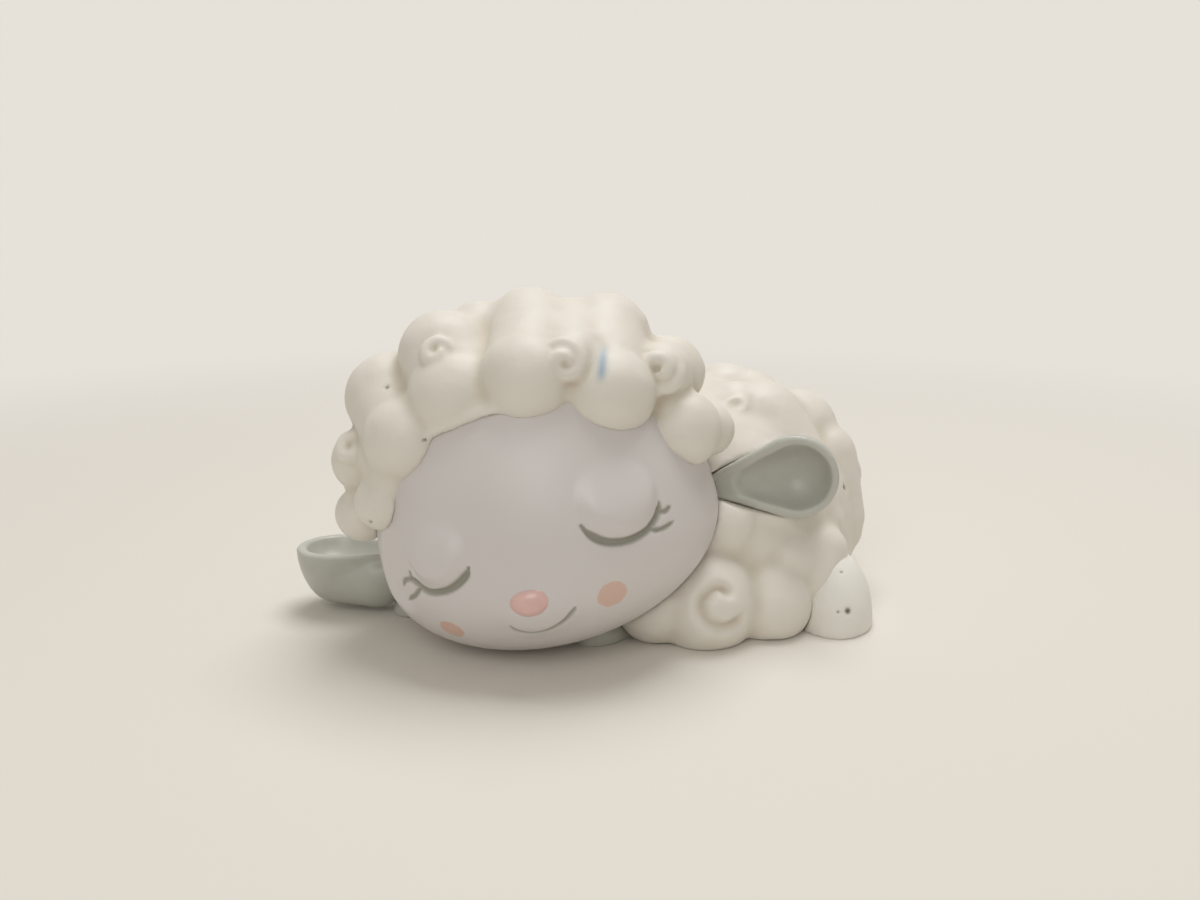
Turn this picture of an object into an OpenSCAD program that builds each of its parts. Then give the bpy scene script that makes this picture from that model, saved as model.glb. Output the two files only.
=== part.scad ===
/* [Head] */
// Width of the head across the cheeks
head_w = 46; // [44:0.5:48]
// Depth of the head from face to nape
head_d = 40; // [38:0.5:42]
// Height of the face below its widest line
chin_h = 14.5; // [13.5:0.5:15.5]
// Height of the skull above its widest line
skull_h = 27; // [26:0.5:28]
// How far the head leans over on its right cheek
head_tilt = 15; // [13:1:17]
// Depth of the flat ground under the chin
chin_flat = 0.4; // [0.2:0.1:0.8]
// Distance of the head's middle to the right of the origin
head_side = 6.7; // [6:0.1:7.5]
// Distance of the head's middle in front of the origin
head_forward = 12; // [11:0.5:13]

/* [Face] */
// Width of a closed eyelid
eyelid_w = 9.4; // [8.4:0.2:10.4]
// Height of a closed eyelid
eyelid_h = 7; // [6:0.2:8]
// How far an eyelid swells out of the face
eyelid_rise = 0.9; // [0.6:0.1:1.2]
// Length of the lash line along the lid, as an angle
lash_line_turn = 130; // [110:5:150]
// Radius of the smile
smile_r = 5.4; // [4.8:0.1:6]
// Length of the smile, as an angle
smile_turn = 92; // [80:2:110]
// Width of the carved lash lines and smile
carved_line = 0.8; // [0.6:0.1:1]
// Width of the nose
nose_w = 5.2; // [4.6:0.2:5.8]
// Height of the nose
nose_h = 3.8; // [3.2:0.1:4.4]
// How far the nose stands out of the face
nose_rise = 1.3; // [1:0.1:1.6]
// Depth of the dimple that the nose is glued into
nose_seat = 1; // [0.7:0.1:1.3]

/* [Fleece hood] */
// Thickness of the hood between its puffs
hood_t = 1.2; // [1:0.1:1.4]
// Slope of the hood's front edge, from the fringe back to the nape
hairline_slope = 38; // [36:1:40]
// Distance of that edge above the middle of the head
hairline_rise = 7; // [6:0.5:8]
// Radius of a middle-sized puff on the hood
puff_r = 6; // [5.6:0.1:6.4]
// How far a middle-sized puff stands out of the hood
puff_rise = 5; // [4.6:0.1:5.4]

/* [Body] */
// Width of the lying body
body_w = 56; // [54:0.5:58]
// Depth of the lying body
body_d = 52; // [50:0.5:54]
// Height of the back between its puffs
body_h = 33; // [32:0.5:34]
// Height of the body's widest line
body_waist = 10; // [9:0.5:11]
// Distance of the body's middle to the left of the origin
body_side = 12; // [11:0.5:13]
// Distance of the body's middle behind the origin
body_back = 12; // [11:0.5:13]
// Radius of a middle-sized puff on the body
body_puff_r = 7.5; // [7.1:0.1:7.9]
// How far a middle-sized puff stands out of the body
body_puff_rise = 1.5; // [1.3:0.1:1.7]
// Radius of the big curled ball of wool beside the chin
knee_r = 7.3; // [7:0.1:7.6]
// Radius of the round groove in that ball
knee_groove_r = 2.4; // [2.1:0.1:2.7]
// Width of that groove
knee_groove_w = 1.6; // [1.3:0.1:1.9]

/* [Ears] */
// Length of an ear from root to tip
ear_len = 17; // [16:0.5:18]
// Width of an ear across its cup
ear_w = 11.2; // [10.6:0.2:11.8]
// Depth of the cup's outside
ear_depth = 8.4; // [7.9:0.1:8.9]
// Thickness of the ear's wall and rim
ear_wall = 1.5; // [1.3:0.1:1.7]
// Thickness of an ear at its root
ear_root = 2.6; // [2.4:0.1:2.8]
// Diameter of the peg that holds an ear
ear_peg_d = 1.6; // [1.4:0.1:1.8]
// Length of that peg inside the head
ear_peg_len = 3.5; // [3:0.5:4]

/* [Feet and tail] */
// Width of a front hoof
hoof_w = 9; // [8.4:0.2:9.6]
// Length of a front hoof
hoof_len = 15; // [14:0.5:16]
// Height of a front hoof
hoof_h = 5; // [4.6:0.2:5.4]
// Diameter of the foreleg that carries it under the chin
foreleg_d = 4.6; // [4.2:0.2:5]
// Length of the foreleg from the middle of the hoof to the chest
foreleg_len = 16; // [15:0.5:17]
// Width of a hind foot
foot_w = 12; // [11.4:0.2:12.6]
// Length of a hind foot
foot_len = 17.5; // [17:0.5:18.5]
// Height of a hind foot
foot_h = 10; // [9.4:0.2:10.6]
// Diameter of the tail's tuft
tail_d = 10; // [9.4:0.2:10.6]

/* [Fits] */
// Diameter of the steel dowel in the neck
neck_pin_d = 3; // [2.5:0.5:3.5]
// Length of that dowel
neck_pin_len = 18; // [16:1:20]
// Clearance round the dowel and round the ears' pegs
pin_clearance = 0.05; // [0.05:0.05:0.15]
// Glue gap between two castings
glue_gap = 0.1; // [0.05:0.05:0.2]
// Air between the left ear's back and the fleece behind it
ear_rest_gap = 0.3; // [0.2:0.1:0.4]

/* [Hidden] */
$fn = 64;

// The head leans on its right cheek, and its chin is ground flat where it meets the table.
head_reach_down = sqrt(pow(head_w/2*sin(head_tilt), 2) + pow(chin_h*cos(head_tilt), 2));
head_at = [-head_side, -head_forward, head_reach_down - chin_flat];
skull = [head_w/2, head_d/2, skull_h];
hood = [head_w/2 + hood_t, head_d/2 + hood_t, skull_h + hood_t];
body_at = [body_side, body_back, body_waist];
body = [body_w/2, body_d/2, body_h - body_waist];
big = 3*head_w;

// Places on the face: longitude from its middle to the lamb's left, latitude from its widest line.
eyelids = [[29, 11, 8], [-32, 10, -4]];
smile_at = [-3, -1];
smile_spin = 10;
smile_ball = 1.1*chin_h*chin_h/(head_d/2);
nose_at = [-6, -10];

// Roots of the ears on the head, and how each ear is turned from pointing straight left.
ear_left_root = [98, -2];
ear_right_root = [-112, 0];
ear_left_turn = [0, -9, -12];
ear_right_turn = [-88, 0, 166];
ear_seam = 57;

// Middles of the front hooves, seen from the head's middle, and which way their legs run back.
hoof_left_offset = [7.7, 1.5];
hoof_left_heading = 65;
hoof_right_offset = [-16.8, 10.6];
hoof_right_heading = 35;

// Middles of the hind feet round the body, as a longitude and a share of the body's size.
foot_left_lon = 47;
foot_right_lon = 214;
foot_reach = 1.02;
tail_lon = 132;
tail_lat = 6;
tail_out = 0.35;

// Puffs: longitude, latitude, size and rise, as shares of the middle-sized puff.
fringe = [
    [-58, 72, 1, 1.2], [-31, 59, 1.02, 0.75], [17, 56, 0.97, 0.9], [50, 42, 1, 0.85],
    [40, 54, 0.6, 0.9], [93, 35, 0.85, 1.2], [104, 78, 0.9, 1], [95, 55, 1, 1.25],
    [73, 22, 0.84, 0.8], [93, 16, 0.62, 0.9], [-86, 53, 0.95, 1.4], [-54, 44, 0.94, 0.8],
    [-83, 34, 0.7, 1.1], [-63, 25, 0.65, 0.5], [-84, 19, 0.62, 0.85], [-121, 85, 0.8, 0.85]
];
nape = concat([for (lon = [130:40:210]) [lon, -4, 1.1, 1]],
    [for (lat = [27, 57]) for (lon = [130:40:250]) [lon + lat/4, lat, 1.1, 1]]);
flank = [
    [46, 64, 0.6, 1], [79, 64, 0.7, 1.5], [87, 44, 0.87, 2.3], [82, 21, 0.55, 1.3],
    [74, -1, 0.6, 0.6], [35, -4, 0.78, 1.7], [54, 9, 0.6, 0.3], [11, 16, 0.7, 1.3],
    [25, -16, 0.83, 4], [28, 23, 0.74, 1], [49, -10, 0.45, 1.3], [102, 72, 0.75, 1.2],
    [-9, -12, 0.72, 4.3]
];
far_side = [for (lat = [-8, 20, 48]) for (lon = [118:30:268]) [lon + lat/3, lat, 1.1, 2.2]];
knee = [5, -13];
knee_curl = [9, 15];
knee_groove_start = 140;
knee_groove_turn = 260;

// Point and outward direction on an egg: longitude 0 is its front, 90 its left.
function skin(lon, lat, axes) =
    [axes[0]*sin(lon)*cos(lat), -axes[1]*cos(lon)*cos(lat), axes[2]*sin(lat)];
function unit(v) = v/norm(v);
function outward(lon, lat, axes) =
    unit([sin(lon)*cos(lat)/axes[0], -cos(lon)*cos(lat)/axes[1], sin(lat)/axes[2]]);
function puff_centre(p, axes, r, rise) =
    skin(p[0], p[1], axes) - outward(p[0], p[1], axes)*(r*p[2] - rise*p[3]);
function face_axes(lat) = [skull[0], skull[1], lat < 0 ? chin_h : skull_h];

module in_head() {
    translate(head_at) rotate([0, -head_tilt, 0]) children();
}

module egg(axes) {
    scale(axes) sphere(1);
}

module above(z) {
    intersection() {
        children();
        translate([0, 0, z + big/2]) cube(big, center = true);
    }
}

// Turns +Z to the given longitude and latitude, with +X pointing down.
module facing(lon, lat) {
    n = outward(lon, lat, [1, 1, 1]);
    rotate([0, 90 - lat, atan2(n[1], n[0])]) children();
}

module on_face(lon, lat, sink = 0) {
    axes = face_axes(lat);
    n = outward(lon, lat, axes);
    translate(skin(lon, lat, axes) - n*sink)
        rotate([0, acos(n[2]), atan2(n[1], n[0])]) children();
}

// The skull is tall above its widest line and shallow below it.
module skull_form(grow = 0) {
    above(0) egg([skull[0] + grow, skull[1] + grow, skull_h + grow]);
    mirror([0, 0, 1]) above(0) egg([skull[0] + grow, skull[1] + grow, chin_h + grow]);
}

module puffs(list, axes, r, rise, grow = 0) {
    for (p = list) translate(puff_centre(p, axes, r, rise)) sphere(r*p[2] + grow);
}

// Arc carved into the face, hugging a ball of the face's own curvature.
module carved_arc(r, turn, spin, ball) {
    translate([0, 0, -ball]) rotate([0, 0, spin - turn/2])
        rotate_extrude(angle = turn) translate([r, sqrt(ball*ball - r*r)]) circle(carved_line/2);
}

module nose_form(grow = 0) {
    on_face(nose_at[0], nose_at[1], (nose_seat - nose_rise)/2)
        egg([nose_h/2 + grow, nose_w/2 + grow, (nose_rise + nose_seat)/2 + grow]);
}

// The lid is an egg sunk two thirds into the face, so its visible edge is eyelid_w wide.
module eyelid_form() {
    sunk = 2/3;
    spread = 1/sqrt(1 - sunk*sunk);
    egg([eyelid_h/2*spread, eyelid_w/2*spread, eyelid_rise/(1 - sunk)]);
}

module hood_form(grow = 0) {
    intersection() {
        egg([hood[0] + grow, hood[1] + grow, hood[2] + grow]);
        rotate([-hairline_slope, 0, 0])
            translate([0, 0, hairline_rise - grow + big/2]) cube(big, center = true);
    }
    puffs(concat(fringe, nape), hood, puff_r, puff_rise, grow);
}

// Straight level way from the head's middle towards the body, for the dowel, which starts half
// its length inside the hood's inner face.
module neck_way() {
    way = body_at - head_at;
    turn = atan2(way[1], way[0]);
    seat = 1/norm([cos(turn)*cos(head_tilt)/skull[0], sin(turn)/skull[1],
        cos(turn)*sin(head_tilt)/chin_h]);
    translate(head_at) rotate([0, 0, turn]) rotate([0, 90, 0])
        translate([0, 0, seat - neck_pin_len/2]) children();
}

module neck_bore() {
    neck_way() translate([0, 0, -glue_gap])
        cylinder(d = neck_pin_d + 2*pin_clearance, h = neck_pin_len + 2*glue_gap);
}

module head() {
    color("lavenderblush")
    difference() {
        above(0) in_head() difference() {
            union() {
                skull_form();
                for (e = eyelids) on_face(e[0], e[1], 2*eyelid_rise) eyelid_form();
            }
            for (e = eyelids) on_face(e[0], e[1])
                carved_arc(eyelid_w/2, lash_line_turn, e[2], head_d/2);
            on_face(smile_at[0], smile_at[1]) carved_arc(smile_r, smile_turn, smile_spin, smile_ball);
            nose_form(glue_gap);
        }
        neck_bore();
        ear_at(ear_left_root, ear_left_turn) ear_peg(pin_clearance);
        ear_at(ear_right_root, ear_right_turn) ear_peg(pin_clearance);
    }
}

module nose() {
    color("lightpink")
    in_head() nose_form();
}

module fleece_hood() {
    color("ivory")
    difference() {
        in_head() hood_form();
        in_head() skull_form(glue_gap);
        neck_bore();
    }
}

module body_form(grow = 0) {
    translate(body_at) {
        egg([body[0] + grow, body[1] + grow, body[2] + grow]);
        puffs(concat(flank, far_side), body, body_puff_r, body_puff_rise, grow);
        translate(skin(knee[0], knee[1], body)) sphere(knee_r + grow);
    }
}

// The groove runs over the top, the left and the bottom of the ball's middle, and leaves it joined
// to the wool on its right.
module knee_groove() {
    lean = asin(knee_groove_r/knee_r);
    translate(body_at + skin(knee[0], knee[1], body)) facing(knee_curl[0], knee_curl[1])
        rotate([0, 0, knee_groove_start]) {
            rotate_extrude(angle = knee_groove_turn) translate([knee_groove_r, knee_r*cos(lean)])
                circle(knee_groove_w/2);
            for (turn = [0, knee_groove_turn]) rotate([0, 0, turn])
                translate([knee_groove_r, 0, knee_r*cos(lean)]) sphere(knee_groove_w/2);
        }
}

module body_fleece() {
    color("ivory")
    difference() {
        above(0) body_form();
        knee_groove();
        in_head() hood_form(glue_gap);
        in_head() skull_form(glue_gap);
        neck_bore();
        ear_at(ear_left_root, ear_left_turn) ear_room(ear_rest_gap);
    }
}

// Solid of revolution along X: a ball at the cup, tapering to the root. It is turned about its
// own axis so that its seam stays clear of the rim.
module ear_teardrop(r, root, reach) {
    slope = asin((r - root)/reach);
    rotate([ear_seam, 0, 0]) rotate([0, 90, 0]) rotate_extrude() intersection() {
        union() {
            translate([0, reach]) circle(r);
            circle(root);
            polygon([[0, 0], [root*cos(slope), -root*sin(slope)],
                [r*cos(slope), reach - r*sin(slope)], [0, reach]]);
        }
        translate([0, -big/2]) square([big, big]);
    }
}

// Room that the ear takes, and as much again in front of it, so that no wool bridges over the cup.
module ear_room(grow = 0) {
    scale([1, 2*ear_depth/ear_w, 1])
        ear_teardrop(ear_w/2 + grow, ear_root/2 + grow, ear_len - ear_w/2);
}

// Outside of the ear: its rim lies in the XZ plane and its back bulges towards +Y.
module ear_back() {
    intersection() {
        ear_room();
        translate([0, big/2, 0]) cube(big, center = true);
    }
}

module ear_cup() {
    inner = ear_w/2 - ear_wall;
    difference() {
        ear_back();
        scale([1, (ear_depth - ear_wall)/inner, 1])
            ear_teardrop(inner, (ear_root - ear_wall)/2, ear_len - ear_w/2);
    }
}

// The peg lies behind the rim, in the thick root of the ear.
module ear_peg(grow = 0) {
    translate([ear_root/2, ear_root/2, 0]) rotate([0, -90, 0])
        cylinder(d = ear_peg_d + 2*grow, h = ear_peg_len + ear_root/2 + grow);
}

module ear_at(root, turn) {
    in_head() translate(skin(root[0], root[1], face_axes(root[1])))
        rotate([0, head_tilt, 0]) rotate(turn) children();
}

module ear(root, turn) {
    difference() {
        ear_at(root, turn) ear_cup();
        in_head() skull_form(glue_gap);
        in_head() hood_form(glue_gap);
    }
    ear_at(root, turn) ear_peg();
}

module ear_left() {
    color("darkseagreen")
    ear(ear_left_root, ear_left_turn);
}

module ear_right() {
    color("darkseagreen")
    ear(ear_right_root, ear_right_turn);
}

// A hoof on the end of its folded leg, under the chin and the cheek.
module foreleg(offset, heading) {
    difference() {
        above(0) translate([head_at[0] + offset[0], head_at[1] + offset[1], 0])
            rotate([0, 0, heading]) {
                egg([hoof_len/2, hoof_w/2, hoof_h]);
                translate([0, 0, foreleg_d/2]) rotate([0, 90, 0])
                    cylinder(d = foreleg_d, h = foreleg_len);
            }
        in_head() skull_form(glue_gap);
        in_head() hood_form(glue_gap);
        body_form(glue_gap);
    }
}

module hoof_front_left() {
    color("darkseagreen")
    foreleg(hoof_left_offset, hoof_left_heading);
}

module hoof_front_right() {
    color("darkseagreen")
    foreleg(hoof_right_offset, hoof_right_heading);
}

module hind_foot(lon, heading) {
    difference() {
        above(0) translate([body_at[0] + foot_reach*body[0]*sin(lon),
            body_at[1] - foot_reach*body[1]*cos(lon), foot_h/10])
                rotate([0, 0, heading]) egg([foot_w/2, foot_len/2, 0.9*foot_h]);
        body_form(glue_gap);
    }
}

module foot_hind_left() {
    color("white")
    hind_foot(foot_left_lon, 0);
}

module foot_hind_right() {
    color("white")
    hind_foot(foot_right_lon, 25);
}

module tail() {
    color("ivory")
    difference() {
        translate(body_at + skin(tail_lon, tail_lat, body)
            + outward(tail_lon, tail_lat, body)*tail_out*tail_d) sphere(d = tail_d);
        body_form(glue_gap);
    }
}

module neck_pin() {
    color("silver")
    neck_way() cylinder(d = neck_pin_d, h = neck_pin_len);
}

body_fleece();
head();
fleece_hood();
nose();
ear_left();
ear_right();
hoof_front_left();
hoof_front_right();
foot_hind_left();
foot_hind_right();
tail();
neck_pin();
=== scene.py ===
import math

import bmesh
import bpy
import numpy as np
from mathutils import Matrix, Vector


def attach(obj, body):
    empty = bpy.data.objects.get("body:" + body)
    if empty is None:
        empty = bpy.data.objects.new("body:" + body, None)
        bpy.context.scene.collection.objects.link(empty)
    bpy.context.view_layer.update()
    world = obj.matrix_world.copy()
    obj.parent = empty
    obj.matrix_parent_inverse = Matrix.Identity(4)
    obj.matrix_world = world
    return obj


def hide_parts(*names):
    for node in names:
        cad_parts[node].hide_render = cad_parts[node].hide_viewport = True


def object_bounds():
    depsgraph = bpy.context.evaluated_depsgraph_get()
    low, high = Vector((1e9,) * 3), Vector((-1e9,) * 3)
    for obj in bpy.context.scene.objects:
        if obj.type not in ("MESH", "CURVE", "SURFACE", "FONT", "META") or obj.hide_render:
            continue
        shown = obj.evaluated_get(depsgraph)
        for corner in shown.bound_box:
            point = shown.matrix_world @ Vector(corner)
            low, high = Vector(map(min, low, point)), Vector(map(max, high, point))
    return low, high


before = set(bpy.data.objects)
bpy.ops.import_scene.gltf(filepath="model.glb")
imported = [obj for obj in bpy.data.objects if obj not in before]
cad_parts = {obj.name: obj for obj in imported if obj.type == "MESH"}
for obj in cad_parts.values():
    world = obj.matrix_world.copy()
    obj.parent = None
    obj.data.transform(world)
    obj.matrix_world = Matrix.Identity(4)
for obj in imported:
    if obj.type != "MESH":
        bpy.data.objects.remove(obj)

cad_low, cad_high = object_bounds()

# ---------------------------------------------------------------- camera
# The lamb is seen from the table's edge, from 60 mm above the table and about 125 mm in front of
# its nose, looking a little down.
EYE = (0, -158, 60)  # mm
TILT = 13.118  # degrees below the horizon
camera = bpy.data.objects.new("camera", bpy.data.cameras.new("camera"))
camera.location = [mm / 1000 for mm in EYE]
camera.rotation_euler = (math.radians(90 - TILT), 0, 0)
camera.data.sensor_width = 36
camera.data.lens = 33.6
camera.data.clip_start = 0.005
bpy.context.scene.collection.objects.link(camera)
bpy.context.scene.camera = camera
bpy.context.scene.view_settings.view_transform = "Standard"


# ---------------------------------------------------------------- table, backdrop and lamps
# A pale paper sweep under a large soft lamp above and behind the lamb, with a weak lamp in front.
def srgb(text):
    """Linear colour of an sRGB hex value."""
    levels = [int(text[i:i + 2], 16) / 255 for i in (1, 3, 5)]
    return tuple(c / 12.92 if c <= 0.04045 else ((c + 0.055) / 1.055) ** 2.4 for c in levels) + (1,)


def add(tree, kind, inputs=None, **settings):
    """Adds a node with its settings, and its inputs' values or links."""
    node = tree.nodes.new(kind)
    for key, value in settings.items():
        setattr(node, key, value)
    for key, value in (inputs or {}).items():
        if isinstance(value, bpy.types.NodeSocket):
            tree.links.new(value, node.inputs[key])
        else:
            node.inputs[key].default_value = value
    return node


def link(name, mesh):
    """A new object at the origin that shows the mesh."""
    obj = bpy.data.objects.new(name, mesh)
    bpy.context.scene.collection.objects.link(obj)
    return obj


BACKDROP = srgb("#e6e1d9")

# Pale matt paper. From 80 to 300 mm off it takes on the backdrop's own tone for the camera, so
# that no horizon shows.
paper = bpy.data.materials.new("pale_matt_paper")
paper.use_nodes = True
tree = paper.node_tree
near = tree.nodes["Principled BSDF"]
near.inputs["Base Color"].default_value = srgb("#e6e2da")
near.inputs["Roughness"].default_value = 0.9
far = add(tree, "ShaderNodeEmission", {"Color": BACKDROP, "Strength": 1.0})
where = add(tree, "ShaderNodeTexCoord").outputs["Object"]
away = add(tree, "ShaderNodeVectorMath", {0: where}, operation="LENGTH").outputs["Value"]
fade = add(tree, "ShaderNodeMapRange", {"Value": away, "From Min": 0.08, "From Max": 0.30},
           interpolation_type="SMOOTHSTEP").outputs[0]
camera_ray = add(tree, "ShaderNodeLightPath").outputs["Is Camera Ray"]
fade = add(tree, "ShaderNodeMath", {0: fade, 1: camera_ray}, operation="MULTIPLY").outputs[0]
blend = add(tree, "ShaderNodeMixShader", {0: fade, 1: near.outputs[0], 2: far.outputs[0]})
tree.links.new(blend.outputs[0], tree.nodes["Material Output"].inputs["Surface"])
sheet_mesh = bpy.data.meshes.new("table")
sheet_mesh.from_pydata([(-3, -3, 0), (3, -3, 0), (3, 3, 0), (-3, 3, 0)], [], [(0, 1, 2, 3)])
sheet_mesh.materials.append(paper)
table = link("table", sheet_mesh)

# The camera and glossy reflections see the backdrop; all else is lit by a dimmer, warmer room.
world = bpy.data.worlds.new("studio")
world.use_nodes = True
sky = world.node_tree
sky.nodes.clear()
path = add(sky, "ShaderNodeLightPath")
seen = add(sky, "ShaderNodeMath", {0: path.outputs["Is Camera Ray"],
                                   1: path.outputs["Is Glossy Ray"]}, operation="MAXIMUM")
room = add(sky, "ShaderNodeBackground", {"Color": srgb("#efe9df"), "Strength": 0.40})
paper_back = add(sky, "ShaderNodeBackground", {"Color": BACKDROP, "Strength": 1.0})
either = add(sky, "ShaderNodeMixShader",
             {0: seen.outputs[0], 1: room.outputs[0], 2: paper_back.outputs[0]})
add(sky, "ShaderNodeOutputWorld", {"Surface": either.outputs[0]})
bpy.context.scene.world = world


def lamp(name, place, aim, size, power):
    """A square soft lamp, in metres and watts."""
    light = bpy.data.lights.new(name, "AREA")
    light.size = size
    light.energy = power
    obj = bpy.data.objects.new(name, light)
    obj.location = place
    obj.rotation_euler = (Vector(aim) - Vector(place)).to_track_quat("-Z", "Y").to_euler()
    bpy.context.scene.collection.objects.link(obj)


lamp("softbox_above", place=(0.06, 0.10, 0.50), aim=(0, 0, 0.02), size=0.30, power=1.55)
lamp("softbox_front", place=(-0.10, -0.45, 0.32), aim=(0, 0, 0.02), size=0.30, power=0.55)


# ---------------------------------------------------------------- wool: how it is modelled
# The fleece is cast resin. Its puffs meet in soft creases, and some carry a rope of wool that
# winds in to the middle. The CAD solid gives the puffs; the ropes are laid on and fused here.
def casting(node, name):
    """A copy of a CAD node's mesh, with its loose triangles joined."""
    obj = link(name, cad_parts[node].data.copy())
    obj.data.materials.clear()
    skin = bmesh.new()
    skin.from_mesh(obj.data)
    bmesh.ops.remove_doubles(skin, verts=skin.verts, dist=2e-6)
    skin.to_mesh(obj.data)
    skin.free()
    return obj


def settle(obj):
    """Turns the modifiers into a plain mesh."""
    done = bpy.data.meshes.new_from_object(
        obj.evaluated_get(bpy.context.evaluated_depsgraph_get()))
    old = obj.data
    obj.modifiers.clear()
    obj.data = done
    bpy.data.meshes.remove(old)
    obj.data.name = obj.name
    obj.data.shade_smooth()


def fuse(obj, grain, relax):
    """One skin over all that is in the mesh, of this grain in mm, with its creases relaxed."""
    skin = obj.modifiers.new("skin", "REMESH")
    skin.mode = "VOXEL"
    skin.voxel_size = grain / 1000
    smooth = obj.modifiers.new("smooth", "SMOOTH")
    smooth.factor = 0.5
    smooth.iterations = relax
    settle(obj)


def by_hand(obj, width, height):
    """Small hollows and swellings in mm, as wide as the thumb or tool that left them."""
    marks = bpy.data.textures.new("by_hand", "CLOUDS")
    marks.noise_scale = width / 1000
    press = obj.modifiers.new("by_hand", "DISPLACE")
    press.texture = marks
    press.texture_coords = "LOCAL"
    press.mid_level = 0.5
    press.strength = height / 1000
    settle(obj)


def points(mesh):
    """Places of the mesh's points, in metres."""
    out = np.empty(3 * len(mesh.vertices))
    mesh.vertices.foreach_get("co", out)
    return out.reshape(-1, 3)


def normals(mesh):
    """Outward directions at the mesh's points."""
    out = np.empty(3 * len(mesh.vertices))
    mesh.vertex_normals.foreach_get("vector", out)
    return out.reshape(-1, 3)


def put_points(mesh, places):
    """Moves the mesh's points to these places, in metres."""
    mesh.vertices.foreach_set("co", places.ravel())
    mesh.update()


def paint_mask(mesh, name, values):
    """A number at each point of the mesh, for a material to read."""
    painted = mesh.attributes.new(name, "FLOAT", "POINT")
    painted.data.foreach_set("value", np.clip(values, 0, 1).astype(np.float32))


def spreader(mesh):
    """A function that gives each point the mean of its neighbours' places."""
    edges = np.empty(2 * len(mesh.edges), np.int64)
    mesh.edges.foreach_get("vertices", edges)
    a, b = edges.reshape(-1, 2).T
    count = np.bincount(np.concatenate([a, b]), minlength=len(mesh.vertices))
    count = np.maximum(count, 1)[:, None]

    def mean(at):
        total = [np.bincount(a, at[b, axis], len(at)) + np.bincount(b, at[a, axis], len(at))
                 for axis in range(3)]
        return np.stack(total, 1) / count
    return mean


def soften(mesh, rounds):
    """Fills creases a little at a time, as thick paint does, and leaves the swellings alone."""
    mean = spreader(mesh)
    fill = 0.8  # of the way to the neighbours' mean, each round
    for _ in range(rounds):
        at = points(mesh)
        pull = mean(at) - at
        hollow = np.einsum("ij,ij->i", pull, normals(mesh)) > 0
        put_points(mesh, at + pull * (fill * hollow)[:, None])


def mark_creases(mesh, spread, depth):
    """Marks as hollow or proud what lies off its surroundings, in full from this depth in mm.

    The surroundings reach as many edge lengths as spread says.
    """
    start = points(mesh)
    soft, mean = start, spreader(mesh)
    for _ in range(spread):
        soft = mean(soft)
    rise = np.einsum("ij,ij->i", soft - start, normals(mesh)) / (depth / 1000)
    paint_mask(mesh, "hollow", rise)
    paint_mask(mesh, "proud", -rise)


def new_paint(name):
    """A material, its node tree, its shader, and the place on the object in millimetres."""
    paint = bpy.data.materials.new(name)
    paint.use_nodes = True
    tree = paint.node_tree
    where = add(tree, "ShaderNodeTexCoord").outputs["Object"]
    millimetres = add(tree, "ShaderNodeMapping", {"Vector": where, "Scale": (1000, 1000, 1000)})
    return paint, tree, tree.nodes["Principled BSDF"], millimetres.outputs[0]


def noise(tree, millimetres, scale, detail):
    """Soft noise with this many marks to the millimetre."""
    return add(tree, "ShaderNodeTexNoise", {"Vector": millimetres, "Scale": scale,
                                            "Detail": detail}).outputs["Fac"]


def mask(tree, name):
    """What paint_mask left on the mesh."""
    return add(tree, "ShaderNodeAttribute", attribute_name=name).outputs["Fac"]


def times(tree, value, factor):
    """The product of two numbers or sockets."""
    return add(tree, "ShaderNodeMath", {0: value, 1: factor}, operation="MULTIPLY").outputs[0]


def ranged(tree, value, low, high):
    """The value, 0 to 1, spread from low to high."""
    return add(tree, "ShaderNodeMapRange",
               {"Value": value, "To Min": low, "To Max": high}).outputs[0]


def mixed(tree, share, first, second):
    """The first colour, turning into the second as the share goes from 0 to 1."""
    return add(tree, "ShaderNodeMix", {0: share, 6: first, 7: second},
               data_type="RGBA").outputs[2]


def relief(tree, height, strength, distance, under=None):
    """A bumpy normal, the distance in mm, laid over another one."""
    inputs = {"Height": height, "Strength": strength, "Distance": distance / 1000}
    if under:
        inputs["Normal"] = under
    return add(tree, "ShaderNodeBump", inputs).outputs[0]


def wool_paint(name, light, shade, gloss):
    """Brushed paint between two tones, of this roughness, with painted shade and highlight."""
    paint, tree, shader, millimetres = new_paint(name)
    # brushed coats pool unevenly, about 7 mm wide
    pool = noise(tree, millimetres, 0.14, 3.0)
    # warm painted shade down in the creases, pale painted highlight where the wool stands out
    crease_shade = times(tree, mask(tree, "hollow"), 0.55)
    proud_highlight = times(tree, mask(tree, "proud"), 0.35)
    tone = mixed(tree, pool, srgb(light), srgb(shade))
    # painted shade in the creases, painted highlight on the proud wool; the ink and the specks are
    # real marks
    for share, colour in ((crease_shade, "#bcae97"), (proud_highlight, "#f2efe8"),
                          (mask(tree, "ink"), "#7f9db4"), (mask(tree, "speck"), "#6b6457")):
        tone = mixed(tree, share, tone, srgb(colour))
    tree.links.new(tone, shader.inputs["Base Color"])
    # roughness follows the same coats, and the creases are dull
    dull = ranged(tree, pool, gloss - 0.05, gloss + 0.07)
    dull = add(tree, "ShaderNodeMath", {0: dull, 1: crease_shade}, operation="ADD").outputs[0]
    tree.links.new(dull, shader.inputs["Roughness"])
    # brush and mould grain, 0.5 mm, drawn coarser than the real 0.1 mm so that it shows
    fine = relief(tree, noise(tree, millimetres, 2.0, 4.0), 0.18, 0.1)
    # dents 3 mm wide
    broad = relief(tree, noise(tree, millimetres, 0.35, 2.0), 0.25, 0.3, under=fine)
    tree.links.new(broad, shader.inputs["Normal"])
    shader.inputs["IOR"].default_value = 1.5
    return paint


# Hand-painted cast resin, ivory: a satin coat, duller down in the creases, with warm painted shade
# in them.
ivory = wool_paint("hand_painted_polyresin_ivory", "#e6e1d8", "#ddd7cb", gloss=0.5)


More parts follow.
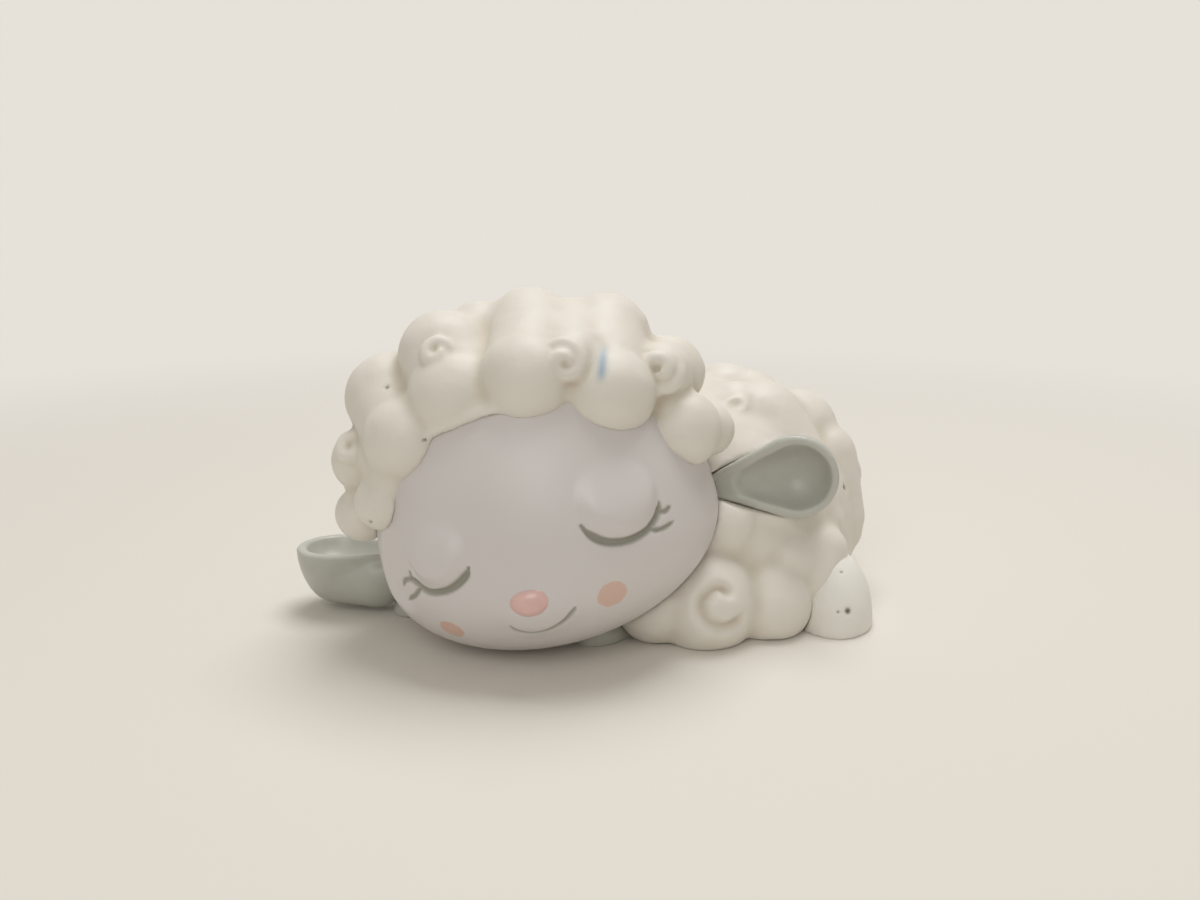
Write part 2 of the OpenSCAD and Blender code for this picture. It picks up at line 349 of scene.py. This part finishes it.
# Rope of wool: a spiral on a ball, thin where it leaves the puff and full at its middle.
curl_tree = bpy.data.node_groups.new("wool_curl", "GeometryNodeTree")
for socket in ("Ball radius", "Outer angle", "Inner angle", "Turns", "Rope width"):
    curl_tree.interface.new_socket(socket, in_out="INPUT", socket_type="NodeSocketFloat")
curl_tree.interface.new_socket("Geometry", in_out="OUTPUT", socket_type="NodeSocketGeometry")
given = add(curl_tree, "NodeGroupInput").outputs
line = add(curl_tree, "GeometryNodeCurvePrimitiveLine")
strand = add(curl_tree, "GeometryNodeResampleCurve", {"Curve": line.outputs[0], "Count": 96})
along = add(curl_tree, "GeometryNodeSplineParameter").outputs["Factor"]
# the way from the ball's middle: lean off its pole, and turn round it
lean = ranged(curl_tree, along, given["Outer angle"], given["Inner angle"])
turn = times(curl_tree, along, times(curl_tree, given["Turns"], 2 * math.pi))
trig = {name: add(curl_tree, "ShaderNodeMath", {0: angle}, operation=kind).outputs[0]
        for name, angle, kind in (("out", lean, "SINE"), ("up", lean, "COSINE"),
                                  ("x", turn, "COSINE"), ("y", turn, "SINE"))}
flat = add(curl_tree, "ShaderNodeCombineXYZ", {"X": trig["x"], "Y": trig["y"]}).outputs[0]
flat = add(curl_tree, "ShaderNodeVectorMath", {0: flat, "Scale": trig["out"]},
           operation="SCALE").outputs[0]
high = add(curl_tree, "ShaderNodeCombineXYZ", {"Z": trig["up"]}).outputs[0]
on_ball = add(curl_tree, "ShaderNodeVectorMath", {0: flat, 1: high}, operation="ADD").outputs[0]
# the rope's outer end comes up out of the wool, over the first third of its length
rising = add(curl_tree, "ShaderNodeMapRange", {"Value": along, "From Max": 0.3, "To Min": -0.45,
                                              "To Max": 0.0}).outputs[0]
radius = add(curl_tree, "ShaderNodeMath", {0: rising, 1: given["Rope width"],
                                          2: given["Ball radius"]},
             operation="MULTIPLY_ADD").outputs[0]
place = add(curl_tree, "ShaderNodeVectorMath", {0: on_ball, "Scale": radius},
            operation="SCALE").outputs[0]
wound = add(curl_tree, "GeometryNodeSetPosition", {"Geometry": strand.outputs[0],
                                                  "Position": place})
swell = add(curl_tree, "ShaderNodeMapRange", {"Value": along, "From Max": 0.22, "To Min": 0.35,
                                             "To Max": 0.5}).outputs[0]
thick = times(curl_tree, swell, given["Rope width"])
ring = add(curl_tree, "GeometryNodeCurvePrimitiveCircle", {"Resolution": 14, "Radius": 1.0})
rope = add(curl_tree, "GeometryNodeCurveToMesh", {"Curve": wound.outputs[0], "Scale": thick,
           "Profile Curve": ring.outputs[0], "Fill Caps": True})
real = add(curl_tree, "GeometryNodeRealizeInstances", {0: rope.outputs[0]})
dressed = add(curl_tree, "GeometryNodeSetMaterial", {0: real.outputs[0], "Material": ivory})
add(curl_tree, "NodeGroupOutput", {0: dressed.outputs[0]})


def curl(wool, start, aim, radius, roll, hand, outer, inner, turns, width):
    """One rope, laid on the wool where the way from start to aim meets it, all in mm.

    It winds on a ball of this radius, from the outer to the inner angle off the ball's pole, in
    degrees. Roll turns it about the pole, and a hand of -1 mirrors it.
    """
    obj = link("curl", bpy.data.meshes.new("curl"))
    wind = obj.modifiers.new("wind", "NODES")
    wind.node_group = curl_tree
    values = {"Ball radius": radius / 1000, "Outer angle": math.radians(outer),
              "Inner angle": math.radians(inner), "Turns": turns, "Rope width": width / 1000}
    for item in curl_tree.interface.items_tree:
        if item.name in values:
            wind[item.identifier] = values[item.name]
    settle(obj)
    way = (Vector(aim) - Vector(start)).normalized()
    spot, facing = wool.ray_cast(Vector(start) / 1000, way)[1:3]
    # the curl turns from the wool's own slope towards the start, so that it is seen open
    facing = (facing - 0.8 * way).normalized()
    turned = facing.to_track_quat("Z", "Y").to_matrix().to_4x4()
    # the ball's top lies just under the wool, so the rope is half sunk
    depth = (radius + 0.02 * width) / 1000
    obj.data.transform(Matrix.Translation(spot - depth * facing) @ turned
                       @ Matrix.Rotation(math.radians(roll), 4, "Z")
                       @ Matrix.Diagonal((hand, 1, 1, 1)))
    if hand < 0:
        obj.data.flip_normals()
    return obj


# A curl of the usual size. On the sides that the photo doesn't show, all of them are like this.
USUAL_CURL = {"radius": 6.5, "outer": 25, "inner": 3, "turns": 1.4, "width": 1.7}


def lay_on(obj, extras):
    """Adds the other objects' meshes to the object's own."""
    skin = bmesh.new()
    for part in [obj] + extras:
        skin.from_mesh(part.data)
    skin.to_mesh(obj.data)
    skin.free()
    for part in extras:
        bpy.data.meshes.remove(part.data)


def balls_along(chains):
    """Balls that run from each given ball to the next, as x, y, z and radius in mm."""
    steps = np.linspace(0, 1, 7)
    for chain in chains:
        for first, last in zip(chain, chain[1:] or chain):
            for share in steps:
                yield (1 - share) * np.array(first) + share * np.array(last)


def masses(chains):
    """Long masses of wool, each from ball to ball."""
    heap = bmesh.new()
    for x, y, z, r in balls_along(chains):
        bmesh.ops.create_icosphere(heap, subdivisions=4, radius=r / 1000,
                                   matrix=Matrix.Translation(Vector((x, y, z)) / 1000))
    mesh = bpy.data.meshes.new("masses")
    heap.to_mesh(mesh)
    heap.free()
    return link("masses", mesh)


def ease(x):
    """A soft step from 0 to 1."""
    x = np.clip(x, 0, 1)
    return x * x * (3 - 2 * x)


def smooth_line(marks, steps=14):
    """A smooth line through the places."""
    marks = np.vstack([2 * marks[0] - marks[1], marks, 2 * marks[-1] - marks[-2]])
    line = []
    for p0, p1, p2, p3 in zip(marks, marks[1:], marks[2:], marks[3:]):
        for t in np.arange(steps) / steps:
            line.append(0.5 * (2 * p1 + (p2 - p0) * t + (2 * p0 - 5 * p1 + 4 * p2 - p3) * t * t
                               + (3 * p1 - p0 - 3 * p2 + p3) * t ** 3))
    return np.array(line + [marks[-2]])


def along_line(at, line):
    """Distance of each point from a line, in mm, and how far along it lies, from 0 to 1."""
    best, share = np.full(len(at), 1e9), np.zeros(len(at))
    for i in range(len(line) - 1):
        a, b = line[i], line[i + 1]
        t = np.clip((at - a) @ (b - a) / ((b - a) @ (b - a)), 0, 1)
        away = np.linalg.norm(at - a - t[:, None] * (b - a), axis=1)
        near = away < best
        best[near], share[near] = away[near], ((i + t) / (len(line) - 1))[near]
    return best, share


def carve(mesh, marks, width, depth):
    """A soft groove along a smooth line through places, all in mm."""
    at, out = points(mesh) * 1000, normals(mesh)
    line = smooth_line(np.array(marks))
    # the whole groove lies within 12 mm of its middle
    close = np.flatnonzero(np.linalg.norm(at - line.mean(0), axis=1) < 12)
    away, share = along_line(at[close], line)
    taper = ease(np.minimum(share, 1 - share) / 0.15)
    at[close] -= out[close] * (depth * taper * np.exp(-(away / width) ** 2))[:, None]
    put_points(mesh, at / 1000)


def dent(mesh, chain):
    """Presses the surface back to the outside of balls, from each given ball to the next."""
    at = points(mesh) * 1000
    for x, y, z, r in balls_along([chain]):
        away = at - (x, y, z)
        far_off = np.linalg.norm(away, axis=1)[:, None]
        at = np.where(far_off < r, (x, y, z) + away / far_off * r, at)
    at[:, 2] = np.maximum(at[:, 2], 0)
    put_points(mesh, at / 1000)


def specks(obj, spots, pit):
    """Casting pinholes where the way from the camera to each point meets the wool, all in mm.

    Each spot is x, y, z and radius; the paint is dark in its middle.
    """
    mesh = obj.data
    at, out = points(mesh), normals(mesh)
    dark = np.zeros(len(at))
    for x, y, z, r in spots:
        spot = obj.ray_cast(Vector(EYE) / 1000, Vector((x, y, z)) - Vector(EYE))[1]
        away = np.linalg.norm((at - spot) * 1000, axis=1) / r
        dip = np.exp(-away ** 2)
        at -= out * (dip * pit / 1000)[:, None]
        dark = np.maximum(dark, np.clip(1.6 * np.exp(-(away / 0.8) ** 2) - 0.2, 0, 1))
    at[:, 2] = np.maximum(at[:, 2], 0)
    put_points(mesh, at)
    paint_mask(mesh, "speck", dark)


# ---------------------------------------------------------------- head
# The bald head: a smooth casting with a pearly satin coat. The closed lids swell out of it over
# carved lash lines, the smile is carved too, and the cheeks are dabbed on with a round sponge.
# Half its width, depth and height above its widest line, and its depth below that line, in mm.
SKULL = np.array([23.08, 20.08, 27.08])
CHIN = 14.58
HEAD_AT = np.array([-6.7, -12.0, 14.818])
LEAN = math.radians(15)
TURN = np.array([[math.cos(LEAN), 0, -math.sin(LEAN)],
                 [0, 1, 0],
                 [math.sin(LEAN), 0, math.cos(LEAN)]])


def half_axes(way):
    """The egg's half width, depth and height towards each direction."""
    return np.where(way[:, 2:] > 0, SKULL, [SKULL[0], SKULL[1], CHIN])


def on_egg(way):
    """Points of the skull, in mm in the head's own frame, from directions on a ball."""
    return way * half_axes(way)


def unit(rows):
    """Each row made 1 long."""
    return rows / np.linalg.norm(rows, axis=1)[:, None]


def way_to(lon, lat):
    """Direction from degrees left of the face's middle and degrees above its widest line."""
    lon, lat = math.radians(lon), math.radians(lat)
    return np.array([math.sin(lon) * math.cos(lat), -math.cos(lon) * math.cos(lat),
                     math.sin(lat)])


def egg_point(lon, lat):
    """The skull's point in that direction, in mm."""
    return on_egg(way_to(lon, lat)[None])[0]


def face_line(marks):
    """A smooth line over the face through places given in degrees, in mm."""
    return on_egg(unit(smooth_line(np.array([way_to(*m) for m in marks]))))


LASH_LEFT = face_line([(15.2, 10.6), (16.8, 8.0), (19.5, 5.6), (22.9, 4.0), (27.2, 3.1),
                       (31.2, 3.0), (35.1, 3.4), (37.6, 4.3), (40.5, 5.8), (42.2, 7.5),
                       (42.8, 8.6)])
LASH_RIGHT = face_line([(-21.9, 7.0), (-23.0, 5.4), (-26.2, 3.4), (-29.9, 2.0), (-34.3, 1.2),
                        (-38.8, 1.1), (-41.9, 2.0), (-44.2, 3.4), (-46.6, 4.7), (-47.1, 6.7)])
HAIRS = [face_line(m) for m in (
    [(41.7, 6.5), (44.3, 5.9), (46.7, 6.6)],
    [(36.3, 3.2), (39.1, 2.3), (42.4, 2.1), (45.8, 2.4)],
    [(-44.1, 3.8), (-47.2, 4.6), (-51.0, 4.2), (-53.2, 2.6)],
    [(-43.3, 2.3), (-46.8, 0.4), (-52.1, -2.6)])]
SMILE = face_line([(-15.2, -20.5), (-14.0, -24.7), (-10.7, -28.0), (-6.1, -28.7), (-1.4, -26.9),
                   (2.6, -24.1), (5.7, -20.4), (6.7, -18.3)])


def meet_face(mesh, reach):
    """Flares the wool's edge on to the face, where the real seam is filled with paint, in mm."""
    at = (points(mesh) * 1000 - HEAD_AT) @ TURN
    size = np.linalg.norm(at / half_axes(at), axis=1)
    gap = np.linalg.norm(at, axis=1) * (1 - 1 / size)
    film = 0.012  # mm between the wool and the face
    closer = np.where((gap > 0) & (gap < reach), gap * ease(gap / reach) ** 0.7 + film, gap)
    at += unit(at) * (closer - gap)[:, None]
    at = at @ TURN.T + HEAD_AT
    at[:, 2] = np.maximum(at[:, 2], 0)
    put_points(mesh, at / 1000)


# An even ball with finer faces at the lids and the mouth, stretched to the egg.
ball = bmesh.new()
bmesh.ops.create_icosphere(ball, subdivisions=7, radius=1)
features = [(Vector(way_to(lon, lat)), math.cos(math.radians(reach)))
            for lon, lat, reach in ((29.5, 8, 21), (-35, 5, 22), (-5, -19, 22))]
fine_edges = [e for e in ball.edges
              if any(min(v.co @ middle for v in e.verts) > limit for middle, limit in features)]
bmesh.ops.subdivide_edges(ball, edges=fine_edges, cuts=1, use_grid_fill=True)
bmesh.ops.triangulate(ball, faces=[f for f in ball.faces if len(f.verts) > 3])
head_mesh = bpy.data.meshes.new("bald_head")
ball.to_mesh(head_mesh)
ball.free()
ways = unit(points(head_mesh))
at = on_egg(ways)
out = unit(ways / half_axes(ways))
front = ways[:, 1] < -0.2

# Closed lids: full over the lash line and melting into the brow.
lift = np.zeros(len(at))
for lon, lat, size, high in ((29.8, 15.0, 5.7, 1.25), (-33.6, 12.0, 5.0, 1.15)):
    way, middle = way_to(lon, lat), egg_point(lon, lat)
    up = np.array([0, 0, 1.0]) - way * way[2]
    up /= np.linalg.norm(up)
    reach = np.linalg.norm(at - middle, axis=1)
    # round over the last 3.4 mm, and fading upwards from 2.2 mm below the middle
    inside = np.sin(ease((size - reach) / 3.4) * math.pi / 2) ** 0.8
    level = (at - middle) @ up
    lift += high * inside * (1 - ease((level + 2.2) / (size + 2.0))) * front
# Muzzle: a low pad under the nose, held by the smile.
reach = np.linalg.norm((at - egg_point(-5, -17)) / [4.6, 4.6, 3.6], axis=1)
lift += 0.55 * np.exp(-reach ** 4) * front
# Smooth rim of the mask at the right temple.
band, share = along_line(at, face_line([(-60, 16), (-63, 8), (-62, 0), (-56, -8)]))
lift += 0.55 * np.exp(-(band / 1.3) ** 2) * front

# Carved lines with tapered ends, filled with sage paint; the smile takes less of it.
cuts, sage = np.zeros(len(at)), np.zeros(len(at))
carved = [(LASH_LEFT, 0.46, 0.5), (LASH_RIGHT, 0.44, 0.5), (SMILE, 0.34, 0.38)]
carved += [(hair, 0.30, 0.22) for hair in HAIRS]
for line, width, depth in carved:
    close = np.flatnonzero((np.linalg.norm(at - line[len(line) // 2], axis=1) < 9) & front)
    away, share = along_line(at[close], line)
    taper = 0.45 + 0.55 * ease(np.minimum(share, 1 - share) / 0.16)
    cut = depth * taper * np.exp(-(away / (width * taper)) ** 4)
    cuts[close] = np.maximum(cuts[close], cut)
    sage[close] = np.maximum(sage[close], np.exp(-(away / (width * taper * 1.15)) ** 6)
                             * (0.75 if line is SMILE else 1))
at = at + out * (lift - cuts)[:, None]
at = at @ TURN.T + HEAD_AT
at[:, 2] = np.maximum(at[:, 2], 0)
put_points(head_mesh, at / 1000)
paint_mask(head_mesh, "lash_paint", sage)
head = link("bald_head", head_mesh)
head_mesh.shade_smooth()

# Pearly satin paint, cloudy over 11 mm, with a fine grain; peach is dabbed on the cheeks.
pearl, tree, shader, millimetres = new_paint("pearly_satin_paint_on_polyresin")
cloud = noise(tree, millimetres, 0.09, 2.0)
tone = mixed(tree, cloud, srgb("#dbd7d7"), srgb("#d4cfcb"))


def cheek(tone, place, radius, strength):
    """A soft-edged dab of peach round a point in mm."""
    away = add(tree, "ShaderNodeVectorMath", {0: millimetres, 1: place}, operation="DISTANCE")
    edge = add(tree, "ShaderNodeMath", {0: noise(tree, millimetres, 1.1, 3.0), 1: 0.5,
                                       2: away.outputs["Value"]}, operation="MULTIPLY_ADD")
    dab = add(tree, "ShaderNodeMapRange", {"Value": edge.outputs[0], "From Min": radius + 0.42,
                                          "From Max": radius + 0.05, "To Max": strength},
              interpolation_type="SMOOTHSTEP")
    return mixed(tree, dab.outputs[0], tone, srgb("#d8b09c"))


tone = cheek(tone, (1.5, -29.9, 12.2), radius=1.95, strength=0.8)
tone = cheek(tone, (-18.5, -26.5, 6.3), radius=1.7, strength=0.85)
tone = mixed(tree, mask(tree, "lash_paint"), tone, srgb("#97968a"))
tree.links.new(tone, shader.inputs["Base Color"])
tree.links.new(ranged(tree, cloud, 0.34, 0.44), shader.inputs["Roughness"])
grain = relief(tree, noise(tree, millimetres, 0.8, 3.0), 0.08, 0.2)
tree.links.new(grain, shader.inputs["Normal"])
shader.inputs["Coat Weight"].default_value = 0.15
shader.inputs["Coat Roughness"].default_value = 0.3
head_mesh.materials.append(pearl)
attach(head, "root")
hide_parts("head")

# ---------------------------------------------------------------- nose
# A small pink bead, wider above than below, glued in its seat on the face. It is the only piece
# that shines.
nose_mesh = bpy.data.meshes.new("nose_bead")
bead = bmesh.new()
bmesh.ops.create_icosphere(bead, subdivisions=5, radius=1)
bead.to_mesh(nose_mesh)
bead.free()
shape = points(nose_mesh)
HALF_WIDTH, HALF_HEIGHT, HALF_DEPTH, SEATED = 2.55, 1.9, 1.5, 0.27  # mm
across = shape[:, 0] * (HALF_WIDTH * (1 + 0.07 * shape[:, 2]))
upward = HALF_HEIGHT * shape[:, 2] + 0.04 * across ** 2 / HALF_WIDTH
outward = -shape[:, 1] * HALF_DEPTH - SEATED
nose_out = way_to(-6, -10) / [SKULL[0], SKULL[1], CHIN]
nose_out /= np.linalg.norm(nose_out)
nose_side = np.cross([0, 0, 1.0], nose_out)
nose_side /= np.linalg.norm(nose_side)
nose_up = np.cross(nose_out, nose_side)
shape = egg_point(-6, -10) + (across[:, None] * nose_side + upward[:, None] * nose_up
                              + outward[:, None] * nose_out)
put_points(nose_mesh, (shape @ TURN.T + HEAD_AT) / 1000)
nose = link("nose_bead", nose_mesh)
nose_mesh.shade_smooth()
# Pink paint, uneven over 2 mm, under a drop of gloss varnish.
varnish, tree, shader, millimetres = new_paint("gloss_varnish_over_pink_paint")
uneven = noise(tree, millimetres, 0.5, 2.0)
tree.links.new(mixed(tree, uneven, srgb("#e8c2bc"), srgb("#dcb1aa")), shader.inputs["Base Color"])
shader.inputs["Roughness"].default_value = 0.28
shader.inputs["Coat Weight"].default_value = 0.6
shader.inputs["Coat Roughness"].default_value = 0.12
nose_mesh.materials.append(varnish)
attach(nose, "root")
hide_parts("nose")

# ---------------------------------------------------------------- body
# The lying body, from the chest beside the chin to the rump: one solid casting, brushed ivory.
# Its big curled ball rests beside the cheek, and its flat underside stands on the table.
body = casting("body_fleece", "body_wool")
lay_on(body, [masses([
    [(14.3, -12.3, 4.8, 7.1)],
    [(30.0, -8.0, 6.5, 4.1), (31.2, -5.5, 9.8, 4.1)],
    [(26.2, -7.0, 8.8, 5.0), (24.5, -7.8, 3.0, 4.9)],
    [(16.0, -8.0, 13.0, 5.4), (20.5, -6.3, 12.5, 5.2)],
    [(25.5, -4.3, 13.5, 5.2)],
    [(33.5, 8.5, 20.0, 5.6), (34.6, 6.0, 11.5, 5.6)],
    [(26.0, 4.0, 19.5, 8.2), (24.0, 6.0, 26.0, 6.5)],
])])
fuse(body, grain=0.36, relax=5)
soften(body.data, rounds=9)
lay_on(body, [
    curl(body, EYE, (20.3, 3.0, 28.9), radius=6.5, roll=240, hand=-1, outer=26, inner=3,
         turns=1.5, width=1.2),
    curl(body, (20, 40, 90), (13, 14, 10), roll=120, hand=1, **USUAL_CURL),
    curl(body, (90, 50, 40), (12, 12, 12), roll=60, hand=-1, **USUAL_CURL),
    curl(body, (0, 110, 40), (12, 12, 12), roll=200, hand=1, **USUAL_CURL),
])
fuse(body, grain=0.38, relax=2)
# the curled groove on the ball beside the chin, which the fusing has filled
carve(body.data, [(17.0, -19.55, 7.3), (16.8, -19.05, 8.5), (15.6, -18.95, 9.2),
                  (14.0, -19.65, 8.3), (13.1, -20.15, 6.9), (13.5, -20.45, 5.3),
                  (14.7, -20.55, 4.4), (16.6, -20.15, 3.9), (18.6, -19.15, 4.5),
                  (19.6, -18.25, 5.0)], width=0.75, depth=1.2)
soften(body.data, rounds=4)
by_hand(body, width=7, height=0.5)
meet_face(body.data, reach=0.6)
mark_creases(body.data, spread=14, depth=0.35)
specks(body, [(37.1, 6.0, 16.0, 0.50), (31.2, 8.0, 31.3, 0.40), (11.6, -12.0, 20.9, 0.35)],
       pit=0.25)
body.data.materials.append(ivory)
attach(body, "root")
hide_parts("body_fleece")

# ---------------------------------------------------------------- hood
# The wool cap over the skull: a fringe of round puffs above the brow and more towards the nape.
# It is glued on over the bald head, and six of its puffs carry a curl.
hood = casting("fleece_hood", "hood_wool")
lay_on(hood, [masses([
    [(-19.7, -15.5, 39.0, 6.0), (-18.2, -19.3, 35.5, 5.7)],
    [(-9.2, -11.5, 41.4, 6.1), (-8.8, -17.0, 39.8, 5.7), (-8.8, -22.0, 37.4, 5.8)],
    [(0.4, -11.0, 40.7, 6.2), (0.4, -16.5, 38.3, 5.8), (0.8, -20.5, 35.4, 5.9)],
    [(-4.2, -12.0, 40.5, 5.9), (-4.0, -18.5, 38.4, 5.8)],
    [(-27.9, -13.0, 33.5, 5.6), (-24.1, -19.3, 28.6, 5.4)],
    [(10.9, -16.6, 30.0, 4.8), (8.7, -17.5, 29.6, 4.3)],
    [(8.2, -13.0, 36.4, 4.2), (7.7, -17.3, 37.3, 3.9)],
    [(-4.2, -22.4, 39.3, 3.3)],
    [(-26.5, -20.0, 23.9, 3.3), (-27.5, -16.5, 26.5, 4.2)],
])])
fuse(hood, grain=0.36, relax=4)
soften(hood.data, rounds=13)
lay_on(hood, [
    curl(hood, EYE, (-20.1, -21.3, 40.3), radius=6.5, roll=315, hand=1, outer=21, inner=2,
         turns=1.2, width=1.7),
    curl(hood, EYE, (-4.3, -25.0, 39.9), radius=6.0, roll=330, hand=-1, outer=27, inner=2,
         turns=1.35, width=2.0),
    curl(hood, EYE, (7.7, -15.0, 37.4), radius=5.0, roll=240, hand=-1, outer=37, inner=3,
         turns=1.4, width=2.1),
    curl(hood, EYE, (-32.2, -17.0, 27.2), radius=4.0, roll=300, hand=1, outer=38, inner=3,
         turns=1.2, width=2.0),
    curl(hood, (-50, 30, 80), (-14, -6, 25), roll=80, hand=-1, **USUAL_CURL),
    curl(hood, (5, 60, 80), (-6, -6, 25), roll=10, hand=1, **USUAL_CURL),
])
fuse(hood, grain=0.35, relax=2)
by_hand(hood, width=7, height=0.5)
meet_face(hood.data, reach=0.6)
mark_creases(hood.data, spread=14, depth=0.35)
specks(hood, [(-27.2, -17.0, 35.4, 0.34), (-21.8, -22.0, 29.6, 0.30), (-30.1, -17.0, 17.4, 0.26)],
       pit=0.2)
# a smear of blue pen between the middle puffs, 1.1 mm wide and 3.4 mm high, leaning a little
x, y, z = (points(hood.data) * 1000).T
aside = np.abs(x - 0.1 - 0.12 * (z - 38)) / 0.55
above = (z - 39.5) / 1.7
paint_mask(hood.data, "ink", 0.75 * np.exp(-aside ** 2) * np.exp(-above ** 4) * (y < -18))
hood.data.materials.append(ivory)
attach(hood, "root")
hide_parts("fleece_hood")

# ---------------------------------------------------------------- ears and front hooves
# Thin cupped ears with a rolled rim, and two small hooves under the chin. All are cast apart,
# dipped in sage grey and glued in.
# Semi-gloss paint streaked over 3 mm, painted highlight on the rims, painted shade in the cups.
sage_paint, tree, shader, millimetres = new_paint("semi_gloss_sage_paint_on_polyresin")
streak = noise(tree, millimetres, 0.3, 3.0)
tone = mixed(tree, streak, srgb("#bebfb7"), srgb("#b1b1a8"))
# pale painted highlight on the rims and on all that stands out
tone = mixed(tree, times(tree, mask(tree, "proud"), 0.5), tone, srgb("#cfcfc8"))
# painted shade down in the cups and hollows
tone = mixed(tree, mask(tree, "hollow"), tone, srgb("#a5a49c"))
tree.links.new(tone, shader.inputs["Base Color"])
tree.links.new(ranged(tree, streak, 0.26, 0.38), shader.inputs["Roughness"])
brushed = relief(tree, noise(tree, millimetres, 1.2, 3.0), 0.12, 0.2)
tree.links.new(brushed, shader.inputs["Normal"])


def cup(piece, root, along, back, full, hollow):
    """Fills the ear's bowl, presses it flat at the rim, and dents a smooth hollow, in mm.

    Along is the way to the tip and back the way behind the rim. The balls of the bowl and of the
    hollow are given by how far along and behind the rim they are, and by their radius.
    """
    root, along, back = np.array(root), np.array(along), np.array(back)

    def placed(balls):
        return [(*(root + u * along + v * back), r) for u, v, r in balls]

    lay_on(piece, [masses([placed(full)])])
    fuse(piece, grain=0.18, relax=9)
    at = points(piece.data)
    ahead = np.minimum((at - root / 1000) @ back, 0)
    put_points(piece.data, at - ahead[:, None] * back)
    dent(piece.data, placed(hollow))
    fuse(piece, grain=0.18, relax=5)


EARS = {
    "ear_left": {
        "root": (15.4, -9.2, 20.2), "along": (0.966, -0.205, 0.156), "back": (0.208, 0.978, 0.0),
        "full": [(11.3, 3.6, 4.9), (4.0, 1.9, 2.1), (1.5, 1.3, 1.5)],
        "hollow": [(11.6, -1.2, 4.9), (8.2, -1.1, 3.7), (5.2, -1.0, 2.4)]},
    "ear_right": {
        "root": (-27.3, -4.5, 9.3), "along": (-0.970, 0.242, 0.0), "back": (0.0, 0.0, -1.0),
        "full": [(11.3, 3.4, 4.9), (5.3, 4.0, 4.5), (1.7, 2.8, 3.0)],
        "hollow": [(11.2, -1.3, 4.9), (7.4, -1.6, 4.2), (4.2, -1.6, 3.0)]},
}
for node, name in (("ear_left", "left_ear"), ("ear_right", "right_ear"),
                   ("hoof_front_left", "left_front_hoof"),
                   ("hoof_front_right", "right_front_hoof")):
    piece = casting(node, name)
    if node in EARS:
        cup(piece, **EARS[node])
    else:
        fuse(piece, grain=0.18, relax=9)
    soften(piece.data, rounds=30)
    if node in EARS:
        # a thick coat, 0.2 mm, rounds the rims and closes the seam to the wool
        swollen = points(piece.data) + 0.0002 * normals(piece.data)
        swollen[:, 0] = np.maximum(swollen[:, 0], cad_low[0])
        put_points(piece.data, swollen)
    by_hand(piece, width=5, height=0.2)
    mark_creases(piece.data, spread=16, depth=0.4)
    level = points(piece.data)
    level[:, 2] = np.maximum(level[:, 2], 0)
    put_points(piece.data, level)
    piece.data.materials.append(sage_paint)
    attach(piece, "root")
    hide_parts(node)

# ---------------------------------------------------------------- hind feet
# Plain white feet with a chalky coat, glued against the rump, one on each side. The left one has
# a pinhole and two small chips.
chalk = wool_paint("chalky_white_paint_on_polyresin", "#eeece6", "#e6e3da", gloss=0.62)
left_spots = [(34.6, -11.0, 2.7, 0.55), (33.0, -12.0, 2.9, 0.22), (34.1, -8.0, 7.4, 0.20)]
for node, name, spots in (("foot_hind_left", "left_hind_foot", left_spots),
                          ("foot_hind_right", "right_hind_foot", [])):
    piece = casting(node, name)
    fuse(piece, grain=0.22, relax=6)
    by_hand(piece, width=6, height=0.3)
    mark_creases(piece.data, spread=10, depth=0.3)
    specks(piece, spots, pit=0.25)
    piece.data.materials.append(chalk)
    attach(piece, "root")
    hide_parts(node)

# ---------------------------------------------------------------- tail
# A round tuft on the rump, cast apart and glued on, and brushed ivory like the body. The photo
# doesn't show it.
tail = casting("tail", "tail_tuft")
fuse(tail, grain=0.25, relax=6)
by_hand(tail, width=6, height=0.5)
mark_creases(tail.data, spread=10, depth=0.3)
tail.data.materials.append(ivory)
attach(tail, "root")
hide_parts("tail")

# ---------------------------------------------------------------- neck dowel
# Steel wire, cut to length, in a blind hole in each casting. It lines the head up with the body
# while the glue sets, and nothing of it shows.
wire, tree, shader, millimetres = new_paint("drawn_steel_wire")
drawn = noise(tree, millimetres, 3.0, 2.0)
tree.links.new(ranged(tree, drawn, 0.28, 0.42), shader.inputs["Roughness"])
shader.inputs["Base Color"].default_value = srgb("#b4b3b0")
shader.inputs["Metallic"].default_value = 1.0
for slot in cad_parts["neck_pin"].material_slots:
    slot.material = wire
